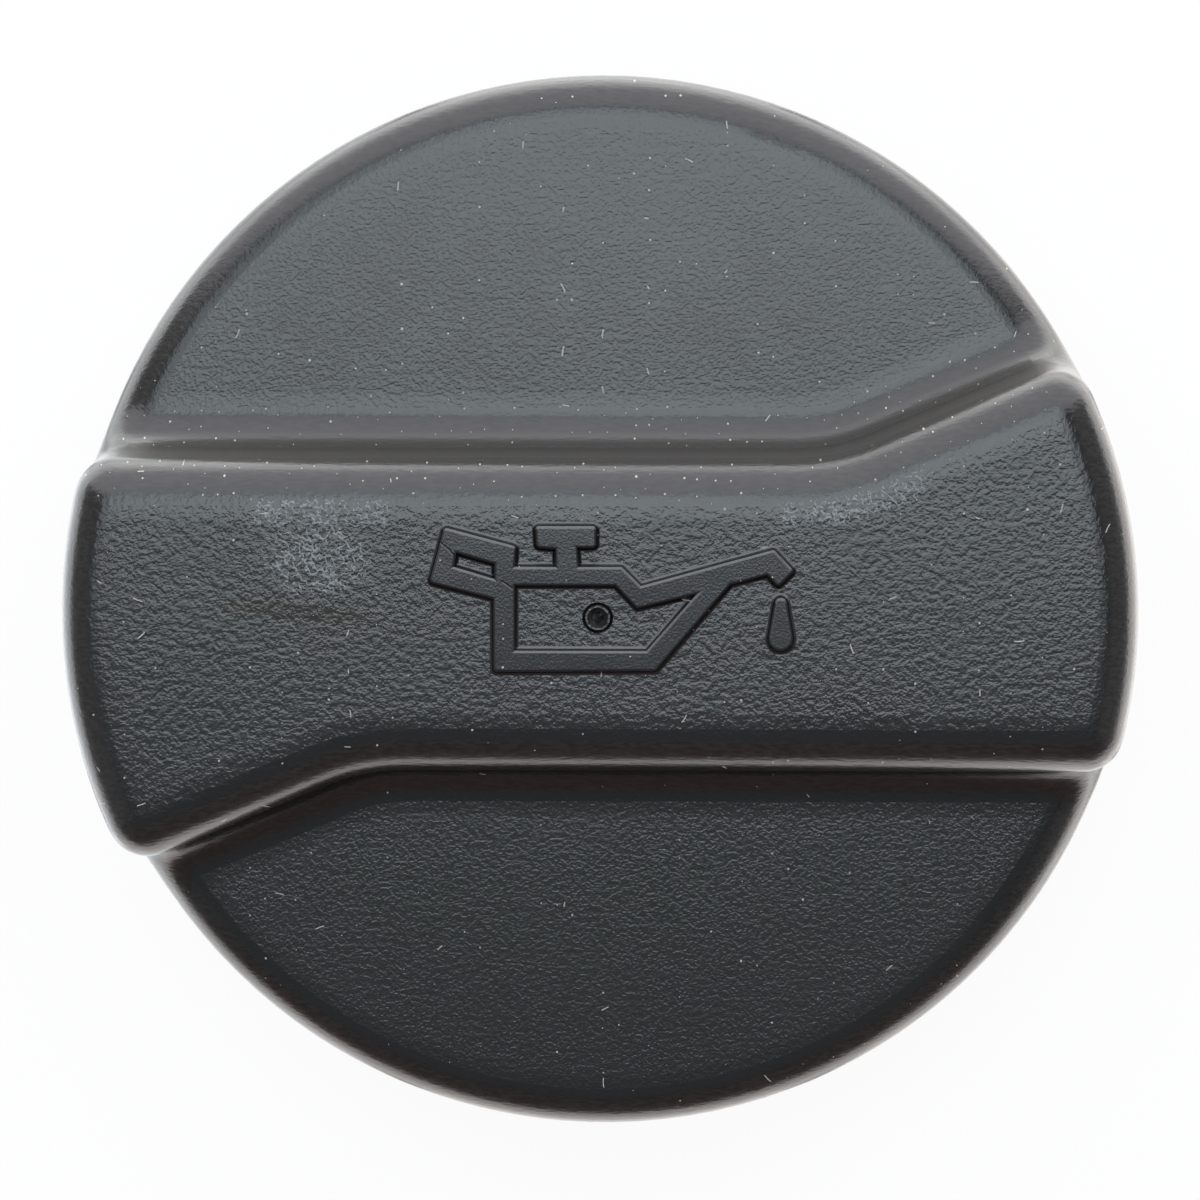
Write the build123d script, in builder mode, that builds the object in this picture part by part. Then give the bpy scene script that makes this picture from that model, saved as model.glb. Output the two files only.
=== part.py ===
# Oil filler cap with a twist grip: a moulded cover, a bayonet insert snapped into it and a sealing ring.
# Millimetres, +Z up. The origin is on the cap's axis, in the plane where the seal meets the filler neck.
import os
from math import hypot, radians, sin, tan

from build123d import *

os.makedirs("parts", exist_ok=True)

# Round body of the cover
cap_radius = 40.0
skirt_wall = 2.8
skirt_drop = 5.0  # how far the skirt reaches below the neck's rim
plate_thickness = 2.8
rim_radius = 3.0  # rounding of the disc's edge and of the bar's ends
skirt_edge_radius = 0.8

# Grip bar, a stretched Z seen from above
grip_height = 12.0
grip_width = 24.2  # across the straight part, at its foot
grip_wall = 2.6
grip_draft = 3.0  # degrees
bend_distance = 17.4  # from the axis to where a side turns outwards
bend_angle = 22.7  # degrees
bend_radius = 15.0
grip_foot_radius = 3.0
crest_step = 0.4  # the bar's crest is rounded more than the rim by this much
hollow_radius = 0.8  # inner corners of the bar

# Raised oil-can symbol, drawn on a fine grid about the axis
symbol_grid = 0.1
symbol_relief = 0.5
symbol_root = 0.2  # how far its sloping sides run on into the bar
symbol_sink = 0.4  # how far the whole symbol is let into the bar
symbol_slope = 20.0  # degrees, lean of its sides
symbol_swell = 0.15  # how far its foot stands out past the drawn lines
symbol_corner_radius = 0.5  # outer corners at the root
symbol_edge_radius = 0.22  # along its top and its foot
can_outline = [
    (-113, 67), (-124, 26), (-77, 14), (-77, -40), (43, -39), (98, 25), (125, 32), (133, 23),
    (145, 35), (130, 51), (32, 24), (18, 38), (-14, 38), (-15, 52), (-1, 52), (-1, 68),
    (-46, 68), (-45, 52), (-31, 51), (-31, 38), (-61, 38), (-60, 53),
]
can_window = [(-61, 24), (-61, -24), (36, -24), (73, 18), (29, 7), (13, 24)]
handle_window = [(-104, 48), (-106, 38), (-76, 29), (-76, 40)]
drop_tip = (135, 11)
drop_tip_radius = 4.5
drop_belly = (135, -15)
drop_belly_radius = 9

# Gate mark left by moulding, at the centre of the bar
gate_radius = 1.15
gate_groove_width = 0.24
gate_groove_depth = 0.25
gate_lip_width = 0.14
gate_pit_depth = 0.9

# Bayonet insert
flange_thickness = 2.6
snap_clearance = 0.3  # between the flange and the skirt
spigot_radius = 19.0
spigot_wall = 2.4
spigot_depth = 14.0  # below the neck's rim
neck_lip = 7.2  # from the neck's rim to where the lugs grip
lug_count = 4
lug_reach = 2.8
lug_angle = 44.0  # degrees
lug_lead = 1.2  # chamfer that leads the lug into the neck
ramp_angle = 4.0  # degrees
stop_angle = 6.0  # degrees
stop_height = 2.4  # above the lugs
slot_width = 7.0
slot_run = 1.2  # how far a slot reaches above the lugs
spigot_mouth_chamfer = 0.6
spigot_root_radius = 1.0
tongue_clearance = 0.25
tongue_wall = 2.2
tongue_height = 7.0
tongue_length = 58.0

# Stiffening of the insert's flange
locating_rim_width = 1.5
locating_rim_height = 1.6
ledge_width = 3.6  # from the locating rim to the flange's edge
rib_count = 24
rib_width = 1.2
rib_height = 1.0
rib_clearance = 0.6  # from the ribs' ends to the snap noses

# Snap noses inside the skirt
nose_count = 6
nose_angle = 14.0  # degrees
nose_reach = 1.1
nose_height = 2.2
nose_lead = 1.4  # height of the nose's sloping lower side
nose_clearance = 0.1

# Sealing ring
seal_height = 3.2
seal_base = 1.8
seal_clearance = 0.15
bead_width = 3.0
bead_slope = 0.5
seal_corner_radius = 0.3

# Making of the cover: it is trimmed from a larger blank, with the round wall's seam clear of the bar
blank_margin = 20.0
seam_turn = 90.0  # degrees
tolerance = 0.01

# Levels and radii that follow
flange_low = seal_height
plate_low = flange_low + flange_thickness
disc_top = plate_low + plate_thickness
grip_top = disc_top + grip_height
crest_radius = rim_radius + crest_step
skirt_inner_radius = cap_radius - skirt_wall
flange_radius = skirt_inner_radius - snap_clearance
locating_rim_outer = flange_radius - ledge_width
locating_rim_inner = locating_rim_outer - locating_rim_width
seal_outer_radius = locating_rim_inner - seal_clearance
seal_inner_radius = spigot_radius + seal_clearance
bead_middle = (seal_inner_radius + seal_outer_radius) / 2
slot_top = slot_run - neck_lip
lug_pitch = 360 / lug_count
symbol_lean = tan(radians(symbol_slope))
symbol_spread = symbol_swell + symbol_root * symbol_lean
symbol_side = symbol_root + symbol_relief
blank_reach = cap_radius + blank_margin


def on_wall(edge):
    # True for an edge that lies on the cover's round wall
    points = [edge.position_at(share) for share in (0, 0.25, 0.5, 0.75, 1)]
    return all(abs(hypot(point.X, point.Y) - cap_radius) < tolerance for point in points)


def inside_blank(edge):
    # True for an edge that isn't on the blank's own sides
    middle = edge.center()
    return max(abs(middle.X), abs(middle.Y)) < blank_reach - tolerance


def crosses_cap(edge):
    # True for an edge of the long bar that comes within the cap's width
    return min(abs(edge.position_at(share).X) for share in (0, 0.5, 1)) < cap_radius


def on_grid(points):
    return [(x * symbol_grid, y * symbol_grid) for x, y in points]


def spread_face(points, amount):
    # Face inside a line of the symbol, spread by an amount with its corners kept sharp
    with BuildSketch() as spread:
        with BuildLine():
            Polyline(*on_grid(points), close=True)
        make_face()
        offset(amount=amount, kind=Kind.INTERSECTION, mode=Mode.REPLACE)
    return spread.sketch


# Plan of the bar at its foot, longer than the cap is wide
half_width = grip_width / 2
flare = (blank_reach - bend_distance) * tan(radians(bend_angle))
with BuildSketch() as bar_plan:
    with BuildLine():
        Polyline(
            (-blank_reach, -half_width - flare),
            (-bend_distance, -half_width),
            (blank_reach, -half_width),
            (blank_reach, half_width + flare),
            (bend_distance, half_width),
            (-blank_reach, half_width),
            close=True,
        )
    make_face()
    fillet(bar_plan.vertices().filter_by(lambda corner: abs(corner.X) < cap_radius), bend_radius)

# Hollow of the bar, open to the cover's underside
with BuildPart() as bar_hollow:
    with BuildSketch(Plane.XY.offset(plate_low)):
        add(bar_plan.sketch)
        offset(amount=-grip_wall, mode=Mode.REPLACE)
    extrude(amount=grip_top - grip_wall - plate_low, taper=grip_draft)
    with Locations((0, 0, plate_low)):
        Cylinder(
            skirt_inner_radius,
            grip_height + plate_thickness,
            align=(Align.CENTER, Align.CENTER, Align.MIN),
            mode=Mode.INTERSECT,
        )
    fillet(bar_hollow.faces().sort_by(Axis.Z)[-1].edges(), hollow_radius)

# One snap nose, with a slope that lets the insert pass on its way in
nose_top = flange_low - nose_clearance
with BuildPart() as snap_nose:
    with BuildSketch(Plane.XZ):
        with BuildLine():
            Polyline(
                (skirt_inner_radius + skirt_wall / 2, nose_top),
                (skirt_inner_radius - nose_reach, nose_top),
                (skirt_inner_radius - nose_reach, nose_top - nose_height + nose_lead),
                (skirt_inner_radius, nose_top - nose_height),
                (skirt_inner_radius + skirt_wall / 2, nose_top - nose_height),
                close=True,
            )
        make_face()
    revolve(axis=Axis.Z, revolution_arc=nose_angle)

with BuildSketch() as oil_drop:
    with Locations(on_grid([drop_tip])[0]):
        Circle(drop_tip_radius * symbol_grid + symbol_spread)
    with Locations(on_grid([drop_belly])[0]):
        Circle(drop_belly_radius * symbol_grid + symbol_spread)
    make_hull()

# Oil can and drop, with sloping sides and a rounded top
with BuildPart() as oil_symbol:
    with BuildSketch(Plane.XY.offset(grip_top - symbol_sink)):
        add(spread_face(can_outline, symbol_spread - symbol_corner_radius))
        offset(amount=symbol_corner_radius, mode=Mode.REPLACE)
        for window in (can_window, handle_window):
            add(spread_face(window, -symbol_spread), mode=Mode.SUBTRACT)
        add(oil_drop.sketch)
    extrude(amount=symbol_sink + symbol_relief)
    for top in oil_symbol.faces().filter_by(Axis.Z).group_by(Axis.Z)[-1]:
        chamfer(top.edges(), symbol_side * symbol_lean, symbol_side, reference=top)
    fillet(oil_symbol.edges().group_by(Axis.Z)[-1], symbol_edge_radius)
symbol_box = oil_symbol.part.bounding_box()


def in_symbol(edge):
    # True for an edge within the symbol's outline
    middle = edge.center()
    return symbol_box.min.X < middle.X < symbol_box.max.X and symbol_box.min.Y < middle.Y < symbol_box.max.Y


with BuildPart() as grip_cover:
    # Blank with the bar on it, whose foot and crest run out past the cap's wall
    with BuildSketch(Plane.XY.offset(disc_top)):
        Rectangle(2 * blank_reach, 2 * blank_reach)
    extrude(amount=-(disc_top + skirt_drop))
    with BuildSketch(Plane.XY.offset(disc_top)):
        add(bar_plan.sketch)
    extrude(amount=grip_height, taper=grip_draft)
    foot_edges = grip_cover.edges().filter_by_position(Axis.Z, disc_top, disc_top).filter_by(inside_blank)
    fillet(foot_edges, grip_foot_radius)
    crest_edges = grip_cover.edges().filter_by_position(Axis.Z, grip_top, grip_top).filter_by(crosses_cap)
    fillet(crest_edges, crest_radius)

    # Round wall, its seam turned away from the bar, then one rounding along the rim and up over the bar's ends
    with Locations((0, 0, -skirt_drop)):
        Cylinder(
            cap_radius,
            grip_top + skirt_drop,
            rotation=(0, 0, seam_turn),
            align=(Align.CENTER, Align.CENTER, Align.MIN),
            mode=Mode.INTERSECT,
        )
    lip_edges = grip_cover.edges().filter_by(on_wall).filter_by(lambda edge: edge.center().Z > disc_top - tolerance)
    fillet(lip_edges, rim_radius)

    # Underside
    with BuildSketch(Plane.XY.offset(-skirt_drop)):
        Circle(skirt_inner_radius)
    extrude(amount=plate_low + skirt_drop, mode=Mode.SUBTRACT)
    add(bar_hollow.part, mode=Mode.SUBTRACT)
    skirt_edges = grip_cover.edges().filter_by_position(Axis.Z, -skirt_drop, -skirt_drop)
    fillet(skirt_edges, skirt_edge_radius)
    with PolarLocations(0, nose_count):
        add(snap_nose.part)

    # Symbol and gate mark on the bar
    add(oil_symbol.part)
    symbol_foot = grip_cover.edges().filter_by_position(Axis.Z, grip_top, grip_top).filter_by(in_symbol)
    fillet(symbol_foot, symbol_edge_radius)
    gate_lip_radius = gate_radius - gate_groove_width
    with BuildSketch(Plane.XZ):
        with BuildLine():
            Polyline(
                (gate_radius, grip_top),
                (gate_radius - gate_groove_width / 2, grip_top - gate_groove_depth),
                (gate_lip_radius, grip_top),
                close=True,
            )
        make_face()
        with BuildLine():
            Polyline(
                (gate_lip_radius - gate_lip_width, grip_top),
                (0, grip_top - gate_pit_depth),
                (0, grip_top),
                close=True,
            )
        make_face()
    revolve(axis=Axis.Z, mode=Mode.SUBTRACT)

# One bayonet lug, with its upper face on a ramp
lug_radius = spigot_radius + lug_reach
lug_root = spigot_radius - spigot_wall / 2
with BuildPart() as lug:
    with BuildSketch(Plane.XZ):
        with BuildLine():
            Polyline(
                (lug_root, -spigot_depth),
                (lug_radius - lug_lead, -spigot_depth),
                (lug_radius, lug_lead - spigot_depth),
                (lug_radius, -neck_lip),
                (lug_root, -neck_lip),
                close=True,
            )
        make_face()
    revolve(axis=Axis.Z, revolution_arc=lug_angle)
    ramp_half_rise = lug_radius * sin(radians(lug_angle / 2)) * tan(radians(ramp_angle))
    with Locations((0, 0, -neck_lip - ramp_half_rise)):
        with PolarLocations(lug_radius, 1, start_angle=lug_angle / 2):
            Box(
                2 * lug_radius,
                2 * lug_radius,
                neck_lip,
                rotation=(ramp_angle, 0, 0),
                align=(Align.CENTER, Align.CENTER, Align.MIN),
                mode=Mode.SUBTRACT,
            )

# Stop at the high end of the ramp
with BuildPart() as lug_stop:
    with BuildSketch(Plane.XZ):
        with Locations((lug_root, stop_height - neck_lip)):
            Rectangle(lug_radius - lug_root, spigot_depth - neck_lip, align=(Align.MIN, Align.MAX))
    revolve(axis=Axis.Z, revolution_arc=stop_angle)

with BuildPart() as claw_slot:
    with BuildSketch(Plane.YZ):
        with Locations((0, slot_top - slot_width / 2)):
            Circle(slot_width / 2)
        with Locations((0, slot_top - slot_width / 2)):
            Rectangle(slot_width, spigot_depth, align=(Align.CENTER, Align.MAX))
    extrude(amount=lug_radius)

with BuildPart() as bayonet_insert:
    with BuildSketch(Plane.XY.offset(flange_low)):
        Circle(flange_radius)
    extrude(amount=flange_thickness)
    with BuildSketch(Plane.XY.offset(flange_low)):
        Circle(locating_rim_outer)
        Circle(locating_rim_inner, mode=Mode.SUBTRACT)
    extrude(amount=-locating_rim_height)
    rib_start = locating_rim_outer - locating_rim_width / 2
    rib_end = skirt_inner_radius - nose_reach - rib_clearance
    with BuildSketch(Plane.XY.offset(flange_low)):
        with PolarLocations((rib_start + rib_end) / 2, rib_count):
            Rectangle(rib_end - rib_start, rib_width)
    extrude(amount=-rib_height)

    # Spigot, its lugs and the slots between its claws
    with BuildSketch(Plane.XY.offset(flange_low)):
        Circle(spigot_radius)
        Circle(spigot_radius - spigot_wall, mode=Mode.SUBTRACT)
    extrude(amount=-(flange_low + spigot_depth))
    with PolarLocations(0, lug_count, start_angle=(lug_pitch - lug_angle) / 2):
        add(lug.part)
    with PolarLocations(0, lug_count, start_angle=(lug_pitch + lug_angle) / 2 - stop_angle):
        add(lug_stop.part)
    with PolarLocations(0, lug_count):
        add(claw_slot.part, mode=Mode.SUBTRACT)
    bore_edges = bayonet_insert.edges().filter_by(GeomType.CIRCLE).filter_by(
        lambda edge: abs(edge.radius - spigot_radius + spigot_wall) < tolerance
    )
    chamfer(bore_edges.group_by(Axis.Z)[0], spigot_mouth_chamfer)
    fillet(bore_edges.group_by(Axis.Z)[-1], spigot_root_radius)

    # Tongue that stands in the bar's hollow and takes the turning force
    with BuildSketch(Plane.XY.offset(plate_low)):
        add(bar_plan.sketch)
        offset(amount=-(grip_wall + tongue_clearance), mode=Mode.REPLACE)
        Circle(tongue_length / 2, mode=Mode.INTERSECT)
        offset(amount=-tongue_wall, mode=Mode.SUBTRACT)
    extrude(amount=tongue_height, taper=grip_draft)

with BuildPart() as sealing_ring:
    with BuildSketch(Plane.XZ) as section:
        bead_foot = seal_height - seal_base
        with BuildLine():
            Polyline(
                (seal_inner_radius, seal_height),
                (seal_inner_radius, bead_foot),
                (bead_middle - bead_width / 2, bead_foot),
                (bead_middle - bead_width / 2 + bead_slope, 0),
                (bead_middle + bead_width / 2 - bead_slope, 0),
                (bead_middle + bead_width / 2, bead_foot),
                (seal_outer_radius, bead_foot),
                (seal_outer_radius, seal_height),
                close=True,
            )
        make_face()
        fillet(section.vertices(), seal_corner_radius)
    revolve(axis=Axis.Z)

grip_cover.part.label = "grip_cover"
export_step(grip_cover.part, "parts/grip_cover.step")
bayonet_insert.part.label = "bayonet_insert"
export_step(bayonet_insert.part, "parts/bayonet_insert.step")
sealing_ring.part.label = "sealing_ring"
export_step(sealing_ring.part, "parts/sealing_ring.step")
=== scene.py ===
import bpy
import bmesh
import math
import random
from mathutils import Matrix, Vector


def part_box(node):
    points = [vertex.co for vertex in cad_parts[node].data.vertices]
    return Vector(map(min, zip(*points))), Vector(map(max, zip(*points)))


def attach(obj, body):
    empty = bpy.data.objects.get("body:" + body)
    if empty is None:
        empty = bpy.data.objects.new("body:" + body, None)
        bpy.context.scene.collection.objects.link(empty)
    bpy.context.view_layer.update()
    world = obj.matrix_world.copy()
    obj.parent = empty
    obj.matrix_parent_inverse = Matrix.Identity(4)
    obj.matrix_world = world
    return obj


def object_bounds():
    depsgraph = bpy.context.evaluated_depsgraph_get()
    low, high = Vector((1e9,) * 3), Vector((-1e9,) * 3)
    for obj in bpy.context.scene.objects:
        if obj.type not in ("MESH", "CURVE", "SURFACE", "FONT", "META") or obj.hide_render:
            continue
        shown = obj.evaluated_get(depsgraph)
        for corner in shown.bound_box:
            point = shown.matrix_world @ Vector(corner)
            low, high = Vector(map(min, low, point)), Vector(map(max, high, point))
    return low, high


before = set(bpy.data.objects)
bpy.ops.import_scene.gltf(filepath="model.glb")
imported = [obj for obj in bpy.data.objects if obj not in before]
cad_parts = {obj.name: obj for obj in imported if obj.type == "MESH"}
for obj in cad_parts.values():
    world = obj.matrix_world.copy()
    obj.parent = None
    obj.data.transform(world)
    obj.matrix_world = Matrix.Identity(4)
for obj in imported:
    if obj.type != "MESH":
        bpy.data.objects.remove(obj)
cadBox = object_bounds()
mm = 0.001


# shader helpers: a Signal is a socket that takes part in sums, a Finish is a material being wired

class Signal:
    def __init__(self, finish, socket):
        self.finish = finish
        self.socket = socket

    def math(self, operation, *values):
        return self.finish.node("Math", {"operation": operation}, dict(enumerate(values)))

    def __add__(self, other):
        return self.math("ADD", self, other)

    def __radd__(self, other):
        return self.math("ADD", other, self)

    def __sub__(self, other):
        return self.math("SUBTRACT", self, other)

    def __rsub__(self, other):
        return self.math("SUBTRACT", other, self)

    def __mul__(self, other):
        return self.math("MULTIPLY", self, other)

    def __rmul__(self, other):
        return self.math("MULTIPLY", other, self)

    def __truediv__(self, other):
        return self.math("DIVIDE", self, other)

    def __pow__(self, other):
        return self.math("POWER", self, other)

    def most(self, other):
        return self.math("MAXIMUM", self, other)

    def size(self):
        return self.math("ABSOLUTE", self)

    def below(self, limit):  # 1 where it is under the limit, else 0
        return self.math("LESS_THAN", self, limit)

    def step(self, start, end):  # 0 at the start, 1 at the end and beyond, smooth between
        return self.finish.node(
            "MapRange", {"interpolation_type": "SMOOTHSTEP"},
            {"Value": self, "From Min": start, "From Max": end, "To Min": 0.0, "To Max": 1.0})

    def between(self, low, high, soft):  # 1 from low to high, fading over soft on both sides
        return self.step(low - soft, low + soft) * self.step(high + soft, high - soft)


class Finish:
    def __init__(self, name):
        self.material = bpy.data.materials.new(name)
        self.material.use_nodes = True
        self.tree = self.material.node_tree
        self.tree.nodes.clear()

    def node(self, kind, settings=None, inputs=None, output=0):
        made = self.tree.nodes.new("ShaderNode" + kind)
        for key, value in (settings or {}).items():
            setattr(made, key, value)
        for key, value in (inputs or {}).items():
            if isinstance(value, Signal):
                self.tree.links.new(value.socket, made.inputs[key])
            else:
                made.inputs[key].default_value = value
        return Signal(self, made.outputs[output]) if made.outputs else None

    def vectorMath(self, operation, *values, output="Value"):
        return self.node("VectorMath", {"operation": operation}, dict(enumerate(values)), output)

    def parts(self, vector):  # the three numbers of a vector
        split = self.node("SeparateXYZ", {}, {"Vector": vector}).socket.node
        return [Signal(self, socket) for socket in split.outputs]

    def blend(self, factor, first, second):  # a colour between two colours
        return self.node(
            "Mix", {"data_type": "RGBA"}, {0: factor, 6: first, 7: second}, output=2)

    def lumps(self, vector, size, detail, **inputs):  # noise with lumps of about that size
        return self.node("TexNoise", {}, {"Vector": vector, "Scale": 1 / size, "Detail": detail, **inputs})

    def bump(self, relief):  # a normal from heights in metres
        return self.node("Bump", {}, {"Strength": 1.0, "Distance": 1.0, "Height": relief})

    def close(self, shader):
        self.node("OutputMaterial", {}, {"Surface": shader})
        return self.material


def rgb(red, green, blue):
    return (red, green, blue, 1.0)


def span(across, along):  # length of a flat vector
    return (across * across + along * along) ** 0.5


# camera

camera = {
    "tilt": 4.441,                  # degrees, the cap's far edge leans away
    "lean": 1.692,                  # degrees to the right
    "place": (13.57 * mm, 36.56 * mm, 474.1 * mm),
    "lens": 185.1, "sensor": 36.0,  # millimetres
    "clipStart": 10.0 * mm,
}


def addCamera():
    data = bpy.data.cameras.new("camera")
    data.sensor_width = camera["sensor"]
    data.lens = camera["lens"]
    data.clip_start = camera["clipStart"]
    made = bpy.data.objects.new("camera", data)
    made.location = camera["place"]
    made.rotation_euler = (math.radians(-camera["tilt"]), math.radians(camera["lean"]), 0.0)
    bpy.context.scene.collection.objects.link(made)
    bpy.context.scene.camera = made


addCamera()
print("camera set")


# floor, lamps and world

floorLook = {"side": 3.0, "albedo": 0.86, "glow": 1.0, "shadowShare": 0.07}
overhead = {  # panels one above the other, so that the light fades out in steps
    "height": 0.6, "lift": 0.002, "colour": (0.9, 1.0, 1.06),
    "panels": (  # near and far edge, left and right edge, radiance
        (-0.5, 0.36, -0.46, 0.36, 0.24),
        (-0.16, 0.36, -0.36, 0.36, 0.2),
        (-0.041, 0.3, -0.13, 0.13, 1.4),
        (-0.038, 0.3, -0.34, 0.27, 1.65),
        (0.01, 0.12, -0.34, 0.27, 0.3)),
}
windowPanel = {"width": 2.0, "height": 1.3, "distance": 0.7, "base": 0.0, "radiance": 2.45,
               "colour": (1.0, 1.0, 1.07)}
frontCard = {"width": 1.4, "height": 0.8, "distance": 0.7, "base": 0.05, "radiance": 0.2,
             "colour": (1.0, 0.55, 0.55)}
sideCards = {"width": 1.0, "height": 0.9, "distance": 0.6, "base": 0.05, "radiance": 0.33,
             "colour": (1.0, 1.0, 1.0)}
tableGlow = {  # light table round the cap, seen only in the cap's walls and rims
    "inner": 0.056, "outer": 0.4, "lift": 0.001,
    "back": (3.3, (1.0, 1.0, 1.0)), "front": (1.6, (1.1, 1.0, 0.95)),      # radiance and colour
    "left": (2.4, (0.96, 1.0, 1.05)), "right": (2.6, (1.05, 1.0, 0.96)),
    "ringEdge": 0.0412, "ringCount": 8, "ringWidth": 0.036, "ringRadiance": 1.2, "ringTint": 0.05,
}
roomLight = {"colour": rgb(1.0, 0.95, 0.95), "strength": 0.11}


def addFloor():
    mesh = bpy.data.meshes.new("floor")
    shape = bmesh.new()
    bmesh.ops.create_grid(shape, x_segments=1, y_segments=1, size=floorLook["side"] / 2)
    bmesh.ops.translate(shape, vec=(0, 0, cadBox[0][2]), verts=shape.verts)
    shape.to_mesh(mesh)
    shape.free()
    floor = bpy.data.objects.new("floor", mesh)
    bpy.context.scene.collection.objects.link(floor)
    look = Finish("floorPaper")
    path = look.node("LightPath").socket.node
    direct, mirrored, through = [
        Signal(look, path.outputs[name])
        for name in ("Is Camera Ray", "Is Glossy Ray", "Is Transmission Ray")]
    lit = look.node("BsdfDiffuse", {}, {"Color": rgb(*[floorLook["albedo"]] * 3)})
    glow = look.node("Emission", {}, {"Color": rgb(1, 1, 1), "Strength": floorLook["glow"]})
    share = direct * (1 - floorLook["shadowShare"]) + mirrored.most(through)
    floor.data.materials.append(look.close(look.node("MixShader", {}, {0: share, 1: lit, 2: glow})))


def addPanel(name, size, place, turn, radiance, colour):
    data = bpy.data.lights.new(name, "AREA")
    data.shape = "RECTANGLE"
    data.size, data.size_y = size
    data.energy = radiance * math.pi * size[0] * size[1]  # watts that give that radiance
    data.color = colour
    lamp = bpy.data.objects.new(name, data)
    lamp.location = place
    lamp.rotation_euler = turn
    lamp.visible_camera = False
    bpy.context.scene.collection.objects.link(lamp)


def addRoomPanels():
    for level, (near, far, left, right, radiance) in enumerate(overhead["panels"]):
        place = ((left + right) / 2, (near + far) / 2, overhead["height"] + level * overhead["lift"])
        addPanel(f"overheadPanel{level}", (right - left, far - near), place,
                 (0, 0, 0), radiance, overhead["colour"])
    for name, box, side in (("windowPanel", windowPanel, 1), ("frontCard", frontCard, -1)):
        addPanel(name, (box["width"], box["height"]),
                 (0, side * box["distance"], cadBox[0][2] + box["base"] + box["height"] / 2),
                 (math.radians(-90 * side), 0, 0), box["radiance"], box["colour"])
    box = sideCards
    for name, side in (("leftCard", -1), ("rightCard", 1)):
        addPanel(name, (box["height"], box["width"]),
                 (side * box["distance"], 0, cadBox[0][2] + box["base"] + box["height"] / 2),
                 (0, math.radians(90 * side), 0), box["radiance"], box["colour"])


def addTableGlow():
    inner, outer, edge = tableGlow["inner"], tableGlow["outer"], tableGlow["ringEdge"]
    level = cadBox[0][2] + tableGlow["lift"]
    middle, reach = (inner + outer) / 2, outer - inner
    for name, size, place in (
            ("back", (2 * outer, reach), (0, middle)), ("front", (2 * outer, reach), (0, -middle)),
            ("left", (reach, 2 * inner), (-middle, 0)), ("right", (reach, 2 * inner), (middle, 0))):
        radiance, colour = tableGlow[name]
        addPanel("tableGlow" + name.title(), size, (*place, level), (math.pi, 0, 0), radiance, colour)
    for step in range(tableGlow["ringCount"]):  # close around the cap, the diagonal panels longer
        turn = step * 2 * math.pi / tableGlow["ringCount"]
        depth = inner * (2 ** 0.5 if step % 2 else 1.0) - edge
        reach = edge + depth / 2
        warm = tableGlow["ringTint"] * math.sin(turn)
        addPanel(f"tableRing{step}", (tableGlow["ringWidth"], depth),
                 (reach * math.sin(turn), reach * math.cos(turn), level),
                 (math.pi, 0, -turn), tableGlow["ringRadiance"], (1 + warm, 1, 1 - warm))


def addWorld():
    world = bpy.data.worlds.new("room")
    world.use_nodes = True
    backdrop = world.node_tree.nodes["Background"]
    backdrop.inputs["Color"].default_value = roomLight["colour"]
    backdrop.inputs["Strength"].default_value = roomLight["strength"]
    bpy.context.scene.world = world
    bpy.context.scene.view_settings.view_transform = "Standard"


addFloor()
addRoomPanels()
addTableGlow()
addWorld()
print("floor and light set")


# finish of the cover

plasticIor = 1.55
coverForm = {  # measures of the cover that its finish follows
    "symbolRelief": 0.5 * mm, "gripHeight": 12.0 * mm,
    "halfWidth": 12.1 * mm, "bendFrom": 17.4 * mm, "bendAngle": math.radians(22.7),  # bar in plan
    "bendEase": 1.7 * mm,
    "barInset": 3.86 * mm, "footReach": 2.84 * mm, "rimFrom": 37.0 * mm,  # where the roundings start
    "barFrom": (6.0 * mm, 7.0 * mm),         # heights over the disc where the bar's finish takes over
    "symbolFrom": (0.02 * mm, 0.1 * mm),     # heights over the bar where the symbol's grain takes over
    "symbolFoot": (0.001 * mm, 0.012 * mm),  # heights over the bar where the symbol's slopes start
    "upperFade": 1.0 * mm,                   # from the middle line into the upper half
}
coverLook = {
    "black": rgb(0.0055, 0.0055, 0.0057),
    "pebbleSize": 0.54 * mm, "pebbleDepth": 0.0112 * mm, "pebbleEdge": (0.31, 0.66),
    "gritSize": 0.2 * mm, "gritDepth": 0.0065 * mm, "noiseRoughness": 0.6,
    "discShare": 0.64, "discScale": 1.35,           # the disc's grain is shallower and finer
    "waveSize": 3.5 * mm, "waveDepth": 0.008 * mm,
    "symbolDepth": 0.005 * mm, "symbolTilt": 0.01,  # the symbol is smoother and leans a little
    "skinSize": 0.24 * mm, "skinDepth": 0.02 * mm, "skinStretch": (0.3, 1.0, 1.0),  # on the roundings
    "flatFacing": (0.93, 0.99), "grainFacing": (0.8, 0.96), "topFacing": (0.1, 0.4),  # by the normal's Z
    "gritRoughness": 0.135, "smoothRoughness": 0.26, "wallRoughness": 0.3, "symbolRoughness": 0.12,
    "easeIn": 1.2 * mm, "easeOut": 0.9 * mm, "easeDrop": 0.05 * mm,  # flats ease into the roundings
    "endEase": 0.75,                                # less of it at the bar's ends
}
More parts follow.
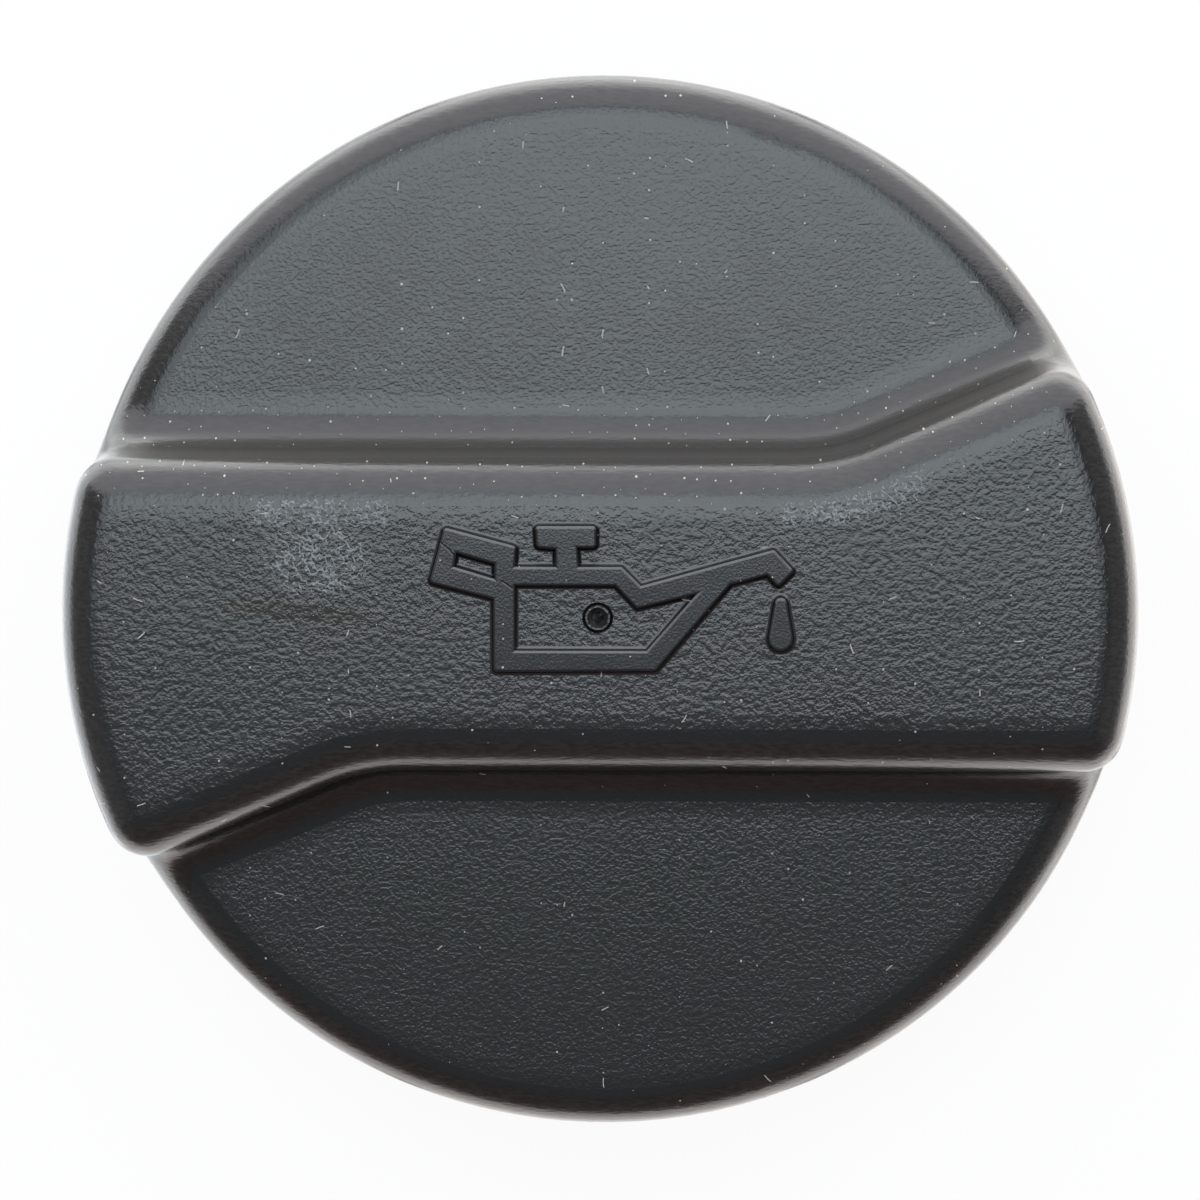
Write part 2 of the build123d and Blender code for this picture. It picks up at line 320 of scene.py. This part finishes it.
# scuff colour, also used for a painted highlight on the symbol's upper edges
scuffsAndHighlight = {
    "colour": rgb(0.17, 0.19, 0.2), "roughness": 0.5,
    "lumpSize": 0.5 * mm, "lineWidth": 0.1, "lineEdge": (1.0, 0.4),    # curled lines round the grain
    "shift": (-0.02 * mm, -0.06 * mm, 0), "upperSide": (-0.04, 0.03),  # only on the lumps' upper side
    "patchSize": 1.8 * mm, "patchEdge": (0.35, 0.6), "patchFloor": 0.5, "fadeIn": (0.05, 0.5),
    "edgeBand": (-5.3 * mm, -3.5 * mm), "bandFade": 0.5 * mm,          # along the bar's upper crest
    "edgeRuns": ((-25.5 * mm, -15.5 * mm), (13.5 * mm, 24.5 * mm)), "runFade": 1.0 * mm,
    "blobs": (((-20.8 * mm, 4.4 * mm), (4.6 * mm, 3.2 * mm)),          # middle and reach
              ((12.3 * mm, 5.1 * mm), (0.8 * mm, 0.35 * mm))),
    "highlightShare": 0.25, "highlightFacing": (0.06, 0.25), "highlightUp": (0.5, 0.7),  # painted highlight on the symbol's upper edges, which face the window light
}
smear = {"start": (-27.2 * mm, 0.8 * mm), "end": (-17.6 * mm, 0.0), "endFade": 2.0 * mm,
         "halfWidth": 0.85 * mm, "edge": (1.6, 0.3), "drop": 0.022 * mm,
         "colour": rgb(0.011, 0.009, 0.006)}
oilyPatch = {"middle": (18.5 * mm, -7.2 * mm), "reach": (5.0 * mm, 1.8 * mm), "roughness": 0.1}
patchFade = (1.1, 0.55)  # shares of a patch's reach between which it fades in
weldLines = {"halfWidth": 0.11 * mm, "depth": 0.07 * mm,
             "runs": (((-11.5 * mm, 5.5 * mm), (-10.9 * mm, 5.0 * mm)),
                      ((-10.9 * mm, 5.0 * mm), (-10.5 * mm, 4.5 * mm)),
                      ((-7.0 * mm, 2.7 * mm), (-6.3 * mm, 2.2 * mm)))}
# dust specks, lint and mottle, and a painted sheen line in the dust colour along the bar's upper edge
dustAndSheen = {
    "colour": rgb(0.35, 0.33, 0.285), "facing": (0.15, 0.5), "spread": 0.9,
    "paintedCrestSheen": 0.08, "paintedSheenBand": (-0.9 * mm, 0.9 * mm),  # painted sheen along the bar's upper edge, where it faces the window light
    "mottle": 0.025, "mottleEdge": (0.35, 0.65),      # on all roundings
    "bandFade": 0.4 * mm,
    "speckCell": 1.17 * mm, "speckRadius": (0.03 * mm, 0.085 * mm), "speckShare": 0.09,
    "grooveShare": 0.5, "grooveBand": (-3.6 * mm, 2.9 * mm),  # more of them in the upper groove
    "lintCell": 3.1 * mm, "lintShare": 0.13, "lintHalfLength": (0.1 * mm, 0.34 * mm),
    "lintRadius": 0.034 * mm, "lintCurl": 500.0,
}


class CoverFinish(Finish):
    def __init__(self, name):
        super().__init__(name)
        coords = self.node("TexCoord").socket.node
        self.place = Signal(self, coords.outputs["Object"])
        self.x, self.y, self.height = self.parts(self.place)
        self.plan = self.node("CombineXYZ", {}, {"X": self.x, "Y": self.y})
        self.facing = self.parts(Signal(self, coords.outputs["Normal"]))
        self.upright = self.facing[2]
        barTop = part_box("grip_cover")[1][2] - coverForm["symbolRelief"]
        discTop = barTop - coverForm["gripHeight"]
        self.side = self.outsideBar()
        self.upperHalf = self.y.step(0.0, coverForm["upperFade"])
        self.onBar = self.height.step(*[discTop + rise for rise in coverForm["barFrom"]])
        self.symbol = self.height.step(*[barTop + rise for rise in coverForm["symbolFrom"]])
        self.raised = self.onBar * self.height.step(*[barTop + rise for rise in coverForm["symbolFoot"]])
        self.flat = self.upright.step(*coverLook["flatFacing"])
        self.grained = self.upright.step(*coverLook["grainFacing"])  # runs on into the roundings
        drawn = self.node("Mapping", {}, {"Vector": self.place, "Scale": coverLook["skinStretch"]})
        self.skin = self.lumps(drawn, coverLook["skinSize"], 1.0)

    def outsideBar(self):  # distance outside the bar's bent sides, negative on the bar
        half, ease = coverForm["halfWidth"], coverForm["bendEase"]
        cosine, sine = math.cos(coverForm["bendAngle"]), math.sin(coverForm["bendAngle"])
        slant = self.vectorMath("DOT_PRODUCT", self.plan, (-sine, cosine, 0))
        shift = coverForm["bendFrom"] * sine - half * cosine
        upper = slant.math("SMOOTH_MIN", self.y - half, slant + shift, ease)
        lower = slant.math("SMOOTH_MIN", -half - self.y, shift - slant, ease)
        return upper.most(lower)

    def fromLine(self, start, end):  # distance from a straight line between two points
        run = (end[0] - start[0], end[1] - start[1], 0)
        offset = self.vectorMath("SUBTRACT", self.plan, (*start, 0), output="Vector")
        share = self.node("Math", {"operation": "MULTIPLY", "use_clamp": True}, {
            0: self.vectorMath("DOT_PRODUCT", offset, run), 1: 1 / math.hypot(*run) ** 2})
        foot = self.node("VectorMath", {"operation": "SCALE"}, {"Vector": run, "Scale": share})
        return self.vectorMath("DISTANCE", offset, foot)

    def inEllipse(self, middle, reach):  # 1 in the middle, 0 outside
        scale = (1 / reach[0], 1 / reach[1], 0)
        shift = (-middle[0] / reach[0], -middle[1] / reach[1], 0)
        fromMiddle = self.vectorMath("MULTIPLY_ADD", self.plan, scale, shift, output="Vector")
        return self.vectorMath("LENGTH", fromMiddle).step(*patchFade)

    def ease(self, distance, edge, way):  # 0 in the rounding, 1 on the flat, which lies that way
        return distance.step(edge - way * coverLook["easeOut"], edge + way * coverLook["easeIn"])

    def flatLumps(self, size, detail, shift=(0, 0, 0), vector=None):  # noise in plan
        moved = self.node("Mapping", {}, {"Vector": vector or self.plan, "Location": shift})
        return self.node("TexNoise", {"noise_dimensions": "2D"}, {
            "Vector": moved, "Scale": 1 / size, "Detail": detail,
            "Roughness": coverLook["noiseRoughness"]})

    def mouldedRelief(self):
        radius = self.vectorMath("LENGTH", self.plan)
        fromEnds = self.y / radius
        fromEnds = coverLook["endEase"] + (1 - coverLook["endEase"]) * fromEnds * fromEnds
        dip = self.ease(radius, coverForm["rimFrom"], -1) * fromEnds
        dip = dip + self.onBar * self.ease(self.side, -coverForm["barInset"], -1)
        dip = dip - (1 - self.onBar) * self.ease(self.side, coverForm["footReach"], 1)
        finer = coverLook["discScale"] - self.onBar * (coverLook["discScale"] - 1)
        closer = self.node("VectorMath", {"operation": "SCALE"}, {"Vector": self.plan, "Scale": finer})
        pebbles = self.flatLumps(coverLook["pebbleSize"], 2.0, vector=closer)
        grit = self.flatLumps(coverLook["gritSize"], 1.0)
        waves = self.flatLumps(coverLook["waveSize"], 1.0)
        grain = pebbles.step(*coverLook["pebbleEdge"]) * coverLook["pebbleDepth"]
        grain = grain + grit * coverLook["gritDepth"]
        grain = grain * (coverLook["discShare"] + self.onBar * (1 - coverLook["discShare"]))
        relief = grain * (1 - self.symbol) + grit * self.symbol * coverLook["symbolDepth"]
        relief = self.grained * relief + (1 - self.grained) * self.skin * coverLook["skinDepth"]
        relief = relief + self.symbol * self.y * coverLook["symbolTilt"]
        return relief + dip * coverLook["easeDrop"] + waves * coverLook["waveDepth"]

    def smearRelief(self):  # the surface drops across the smear
        start, end, half = smear["start"], smear["end"], smear["halfWidth"]
        slide = (end[1] - start[1]) / (end[0] - start[0])
        across = self.y - start[1] - (self.x - start[0]) * slide
        lengthwise = self.x.between(start[0], end[0], smear["endFade"]) * self.onBar
        return lengthwise * smear["drop"] * across.step(-half, half)

    def weldRelief(self):
        welded = 0.0
        for start, end in weldLines["runs"]:
            welded = self.fromLine(start, end).step(weldLines["halfWidth"], 0.0).most(welded)
        return welded * self.symbol * weldLines["depth"]

    def smeared(self):
        edges = [share * smear["halfWidth"] for share in smear["edge"]]
        return self.onBar * self.fromLine(smear["start"], smear["end"]).step(*edges)

    def scuffsAndEdgeHighlight(self):  # lines of rubbed grain, and a painted highlight on the symbol's upper edges
        rubbed = 0.0
        for low, high in scuffsAndHighlight["edgeRuns"]:
            rubbed = self.x.between(low, high, scuffsAndHighlight["runFade"]) + rubbed
        rubbed = rubbed * self.side.between(*scuffsAndHighlight["edgeBand"], scuffsAndHighlight["bandFade"]) * self.upperHalf
        for middle, reach in scuffsAndHighlight["blobs"]:
            rubbed = rubbed.most(self.inEllipse(middle, reach))
        patches = self.flatLumps(scuffsAndHighlight["patchSize"], 1.0).step(*scuffsAndHighlight["patchEdge"])
        rubbed = rubbed * self.onBar * (scuffsAndHighlight["patchFloor"] + (1 - scuffsAndHighlight["patchFloor"]) * patches)
        lumps = self.flatLumps(scuffsAndHighlight["lumpSize"], 1.0)
        shifted = self.flatLumps(scuffsAndHighlight["lumpSize"], 1.0, scuffsAndHighlight["shift"])
        upperSide = (lumps - shifted).step(*scuffsAndHighlight["upperSide"])
        fromLines = (lumps - 0.5).size() / (rubbed * scuffsAndHighlight["lineWidth"] + 0.001)  # never divides by 0
        lines = fromLines.step(*scuffsAndHighlight["lineEdge"]) * upperSide * rubbed.step(*scuffsAndHighlight["fadeIn"])
        # painted highlight: the symbol's edges that face the window are lightened
        paintedEdgeHighlight = self.raised * self.facing[1].step(*scuffsAndHighlight["highlightFacing"])
        paintedEdgeHighlight = paintedEdgeHighlight * self.upright.step(*scuffsAndHighlight["highlightUp"]) * scuffsAndHighlight["highlightShare"]
        return (lines * self.flat).most(paintedEdgeHighlight)

    def scatter(self, cell):  # place and chances in a pattern of cells, for one thing in each cell
        cells = self.node("TexVoronoi", {"voronoi_dimensions": "2D", "feature": "F1"}, {
            "Vector": self.plan, "Scale": 1 / cell, "Randomness": dustAndSheen["spread"]}).socket.node
        centre = self.parts(Signal(self, cells.outputs["Position"]))
        chance = self.node("SeparateColor", {}, {"Color": Signal(self, cells.outputs["Color"])}).socket.node
        return self.x - centre[0], self.y - centre[1], [Signal(self, socket) for socket in chance.outputs]

    def specks(self):
        across, along, chance = self.scatter(dustAndSheen["speckCell"])
        small, large = dustAndSheen["speckRadius"]
        groove = self.side.between(*dustAndSheen["grooveBand"], dustAndSheen["bandFade"]) * self.upperHalf
        there = chance[0].below(dustAndSheen["speckShare"] + groove * dustAndSheen["grooveShare"])
        return there * span(across, along).below(small + chance[1] * chance[1] * (large - small))

    def lint(self):  # short curled hairs
        across, along, chance = self.scatter(dustAndSheen["lintCell"])
        turn = chance[1] * (2 * math.pi)
        cosine, sine = turn.math("COSINE", turn), turn.math("SINE", turn)
        lengthways = across * cosine + along * sine
        curl = lengthways * lengthways * (chance[2] - 0.5) * dustAndSheen["lintCurl"]
        sideways = along * cosine - across * sine + curl
        short, long = dustAndSheen["lintHalfLength"]
        beyond = (lengthways.size() - short - chance[2] * (long - short)).most(0.0)
        return chance[0].below(dustAndSheen["lintShare"]) * span(beyond, sideways).below(dustAndSheen["lintRadius"])

    def crestSheenAndDustMottle(self):  # painted sheen along the bar's upper edge, and dust mottled on the roundings
        # painted highlight: a pale line along the upper crest, on the side that faces the window
        paintedCrestSheen = self.side.between(*dustAndSheen["paintedSheenBand"], dustAndSheen["bandFade"]) * self.upperHalf
        mottle = (1 - self.flat) * self.skin.step(*dustAndSheen["mottleEdge"]) * (1 - self.raised)
        return (paintedCrestSheen * dustAndSheen["paintedCrestSheen"]).most(mottle * dustAndSheen["mottle"])


def coverPlastic():
    look = CoverFinish("coverPlastic")
    relief = look.mouldedRelief() + look.smearRelief() - look.weldRelief()
    scuffsAndEdgeHighlight = look.scuffsAndEdgeHighlight()
    dusty = look.specks().most(look.lint()) * look.upright.step(*dustAndSheen["facing"])
    oily = look.onBar * look.inEllipse(oilyPatch["middle"], oilyPatch["reach"])

    colour = look.blend(look.smeared(), coverLook["black"], smear["colour"])
    # scuffs, and the painted highlight on the symbol's upper edges
    colour = look.blend(scuffsAndEdgeHighlight, colour, scuffsAndHighlight["colour"])
    # painted sheen line along the upper crest, and dust mottle on the roundings
    colour = look.blend(look.crestSheenAndDustMottle(), colour, dustAndSheen["colour"])
    colour = look.blend(dusty, colour, dustAndSheen["colour"])

    rough = coverLook["wallRoughness"] + look.upright.step(*coverLook["topFacing"]) * (
        coverLook["smoothRoughness"] - coverLook["wallRoughness"])
    rough = rough + look.flat * (coverLook["gritRoughness"] - coverLook["smoothRoughness"])
    rough = rough + look.raised * (1 - look.flat) * (coverLook["symbolRoughness"] - rough)
    rough = rough + oily * (oilyPatch["roughness"] - rough)
    rough = rough + scuffsAndEdgeHighlight.most(dusty) * (scuffsAndHighlight["roughness"] - rough)
    return look.close(look.node("BsdfPrincipled", {}, {
        "Base Color": colour, "Roughness": rough, "IOR": plasticIor, "Normal": look.bump(relief)}))


# finish of the insert

insertLook = {
    "dark": rgb(0.009, 0.009, 0.0095), "pale": rgb(0.02, 0.0205, 0.021), "roughness": (0.3, 0.46),
    "flowSize": 5.0 * mm, "flowSwirl": 1.2, "flowEdge": (0.35, 0.65), "flowShare": 0.6,
    "fibreSize": 0.25 * mm, "fibreStretch": (1.0, 5.0, 1.0), "fibreEdge": (0.4, 0.7), "fibreShare": 0.4,
    "fibreDepth": 0.006 * mm,
    "pinCount": 8, "pinOrbit": 27.0 * mm, "pinRadius": 1.5 * mm, "pinEdge": (0.05 * mm, 0.18 * mm),
    "pinDepth": 0.06 * mm,
}


def insertPlastic():
    look = Finish("insertPlastic")
    place = look.node("TexCoord", output="Object")
    x, y = look.parts(place)[:2]
    stretched =look.node("Mapping", {}, {"Vector": place, "Scale": insertLook["fibreStretch"]})
    flow = look.lumps(place, insertLook["flowSize"], 3.0, Distortion=insertLook["flowSwirl"])
    fibres = look.lumps(stretched, insertLook["fibreSize"], 2.0)
    streaks = flow.step(*insertLook["flowEdge"]) * insertLook["flowShare"]
    streaks = streaks + fibres.step(*insertLook["fibreEdge"]) * insertLook["fibreShare"]

    # ring left by each ejector pin
    angle = x.math("ARCTAN2", y, x)
    pitch = 2 * math.pi / insertLook["pinCount"]
    swing = angle.math("PINGPONG", angle + pitch / 2, pitch / 2) - pitch / 4
    fromPin = span(span(x, y) - insertLook["pinOrbit"], swing * insertLook["pinOrbit"])
    pin = 1 - (fromPin - insertLook["pinRadius"]).size().step(*insertLook["pinEdge"])

    low, high = insertLook["roughness"]
    relief = fibres * insertLook["fibreDepth"] - pin * insertLook["pinDepth"]
    return look.close(look.node("BsdfPrincipled", {}, {
        "Base Color": look.blend(streaks, insertLook["dark"], insertLook["pale"]),
        "Roughness": low + streaks * (high - low), "IOR": plasticIor, "Normal": look.bump(relief)}))


# finish of the seal

sealLook = {
    "black": rgb(0.006, 0.006, 0.0065), "bloom": rgb(0.03, 0.03, 0.031), "roughness": (0.5, 0.72),
    "bloomSize": 3.0 * mm, "bloomEdge": (0.42, 0.75), "skinSize": 0.12 * mm, "skinDepth": 0.006 * mm,
}


def sealRubber():
    look = Finish("sealRubber")
    place = look.node("TexCoord", output="Object")
    bloom = look.lumps(place, sealLook["bloomSize"], 4.0).step(*sealLook["bloomEdge"])
    skin = look.lumps(place, sealLook["skinSize"], 1.0)
    low, high = sealLook["roughness"]
    return look.close(look.node("BsdfPrincipled", {}, {
        "Base Color": look.blend(bloom, sealLook["black"], sealLook["bloom"]),
        "Roughness": low + bloom * (high - low),
        "Normal": look.bump(skin * sealLook["skinDepth"])}))


def dress(node, material):
    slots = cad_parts[node].data.materials
    slots.clear()
    slots.append(material)


dress("grip_cover", coverPlastic())
dress("bayonet_insert", insertPlastic())
dress("sealing_ring", sealRubber())
print("finishes set")


# rough stub where the runner broke off, down in the gate mark

gateStub = {
    "radius": 0.66 * mm, "squash": 0.5, "below": 0.3 * mm, "jitter": 0.15 * mm, "seed": 11,
    "black": rgb(0.004, 0.004, 0.004), "roughness": (0.1, 0.35),
    "glintSize": 0.3 * mm, "glintEdge": (0.35, 0.65),
}


def brokenPlastic():
    look = Finish("brokenPlastic")
    place = look.node("TexCoord", output="Object")
    torn = look.lumps(place, gateStub["glintSize"], 2.0).step(*gateStub["glintEdge"])
    low, high = gateStub["roughness"]
    return look.close(look.node("BsdfPrincipled", {}, {
        "Base Color": gateStub["black"], "Roughness": low + torn * (high - low), "IOR": plasticIor}))


def addGateStub():
    draw = random.Random(gateStub["seed"])
    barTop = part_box("grip_cover")[1][2] - coverForm["symbolRelief"]
    shape = bmesh.new()
    bmesh.ops.create_icosphere(shape, subdivisions=2, radius=gateStub["radius"])
    bmesh.ops.scale(shape, vec=(1, 1, gateStub["squash"]), verts=shape.verts)
    for vert in shape.verts:
        vert.co += Vector([draw.uniform(-1, 1) * gateStub["jitter"] for axis in range(3)])
    middle = barTop - gateStub["below"] - gateStub["radius"] * gateStub["squash"]
    bmesh.ops.translate(shape, vec=(0, 0, middle), verts=shape.verts)
    mesh = bpy.data.meshes.new("gateStub")
    shape.to_mesh(mesh)
    shape.free()
    stub = bpy.data.objects.new("gateStub", mesh)
    mesh.materials.append(brokenPlastic())
    bpy.context.scene.collection.objects.link(stub)
    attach(stub, "root")


addGateStub()
print("gate stub set")
